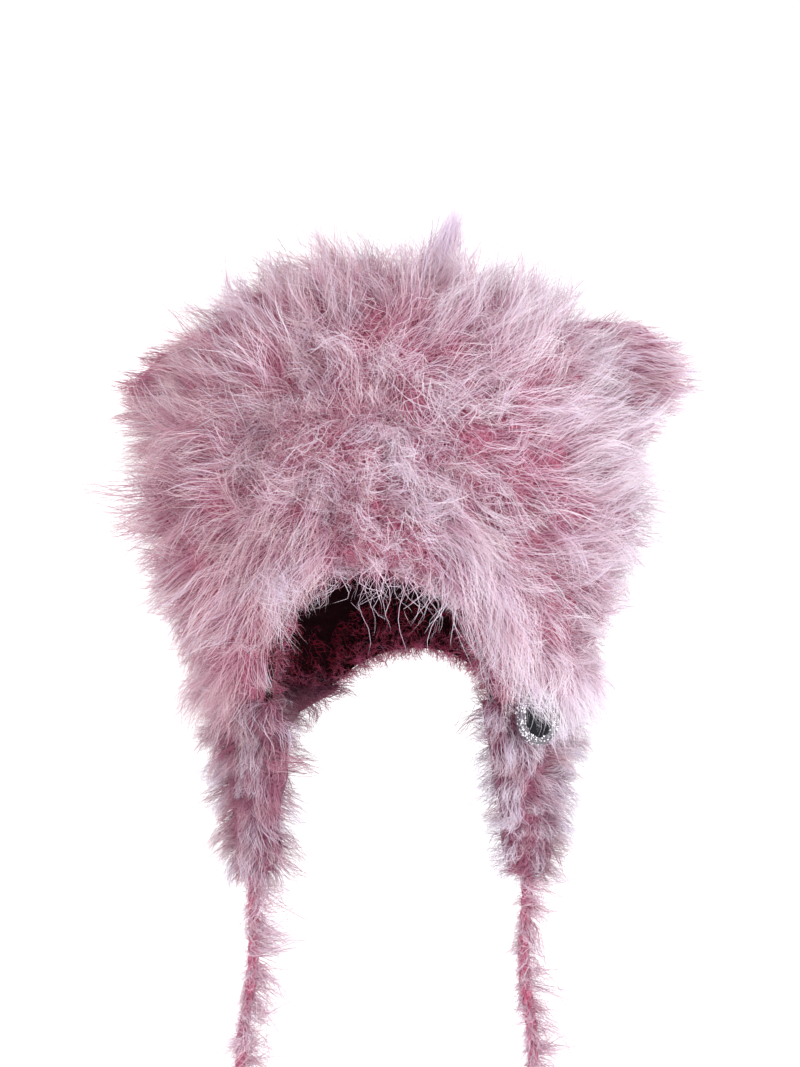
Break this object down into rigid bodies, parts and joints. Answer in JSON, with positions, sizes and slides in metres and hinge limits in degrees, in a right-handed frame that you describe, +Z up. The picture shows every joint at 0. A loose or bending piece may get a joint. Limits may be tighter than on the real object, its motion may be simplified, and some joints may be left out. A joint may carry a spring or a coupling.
{
  "type": "cat ear hat",
  "caption": "Knitted long-pile hat with small side ears, an arched face opening, and ear flaps that narrow to twisted ties.",
  "frame": {"origin": "top of the crown's inside, where the hat sits on the head", "axes": "+Z up, -Y out of the face opening, +X towards the wearer's left"},
  "size_m": [0.2917, 0.2762, 0.4504],
  "materials": {
    "knit": "soft rose yarn, knitted",
    "pile": "long fluffy pile, rose at the roots and pale lilac at the tips",
    "tie_yarn": "twisted fluffy yarn",
    "glitter_silver": "silver glitter",
    "dark_enamel": "dark gloss"
  },
  "bodies": {
    "root": {"crown": "knit", "crown_fur": "pile", "ear_left": "knit", "ear_fur_left": "pile", "ear_right": "knit", "ear_fur_right": "pile", "earflap_left": "knit", "earflap_fur_left": "pile", "earflap_right": "knit", "earflap_fur_right": "pile", "tie_left": "tie_yarn", "tie_end_left": "tie_yarn", "tie_right": "tie_yarn", "tie_end_right": "tie_yarn", "badge_rim": "glitter_silver", "badge_field": "dark_enamel"}
  },
  "joints": []
}
